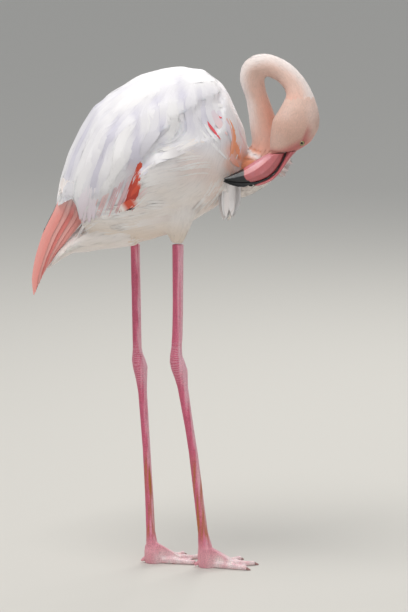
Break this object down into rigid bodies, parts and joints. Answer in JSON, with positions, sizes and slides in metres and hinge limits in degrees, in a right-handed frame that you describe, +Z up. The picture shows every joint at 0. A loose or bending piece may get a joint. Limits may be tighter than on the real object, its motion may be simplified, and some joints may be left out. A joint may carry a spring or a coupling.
{
  "type": "flamingo",
  "caption": "Life-size still model of a greater flamingo standing on its webbed feet, its long neck looped over and its bent bill preening the breast.",
  "frame": {"origin": "on the floor, under the middle of the bird's bounding box", "axes": "+Z up, +X towards the bird's breast, -X towards its tail, -Y towards its right side"},
  "size_m": [0.4866, 0.224, 0.8806],
  "materials": {
    "breast_plumage": "soft matt feathers over flesh",
    "rump_plumage": "loose soft matt feathers",
    "wing_plumage": "overlapping soft feathers",
    "tail_plumage": "soft ragged feathers",
    "salmon_plumage": "long smooth feathers",
    "loose_plumes": "loose hanging feathers",
    "neck_plumage": "short dense feathers over flesh",
    "thigh_plumage": "short soft feathers over flesh",
    "leg_skin": "scaled skin, slightly shiny",
    "web_skin": "scaled skin and thin web, moist sheen",
    "bill": "smooth horn, satin, black at the end",
    "horn": "satin black horn",
    "eye": "wet gloss"
  },
  "bodies": {
    "root": {"breast": "breast_plumage", "rump": "rump_plumage", "wing_right": "wing_plumage", "wing_left": "wing_plumage", "scapulars_right": "wing_plumage", "scapulars_left": "wing_plumage", "neck_root": "neck_plumage", "neck_rise": "neck_plumage", "neck_turn": "neck_plumage", "neck_fall": "neck_plumage", "head": "neck_plumage", "eye_right": "eye", "eye_left": "eye", "bill_upper": "bill", "bill_lower": "bill", "breast_plumes": "loose_plumes", "thigh_right": "thigh_plumage", "shank_right": "leg_skin", "ankle_right": "leg_skin", "tarsus_right": "leg_skin", "thigh_left": "thigh_plumage", "shank_left": "leg_skin", "ankle_left": "leg_skin", "tarsus_left": "leg_skin", "tail": "tail_plumage", "tertials_right": "salmon_plumage", "tertials_left": "salmon_plumage", "claw_right_inner": "horn", "claw_right_middle": "horn", "claw_right_outer": "horn", "foot_right": "web_skin", "hind_toe_right": "leg_skin", "claw_left_inner": "horn", "claw_left_middle": "horn", "claw_left_outer": "horn", "foot_left": "web_skin", "hind_toe_left": "leg_skin"}
  },
  "joints": []
}
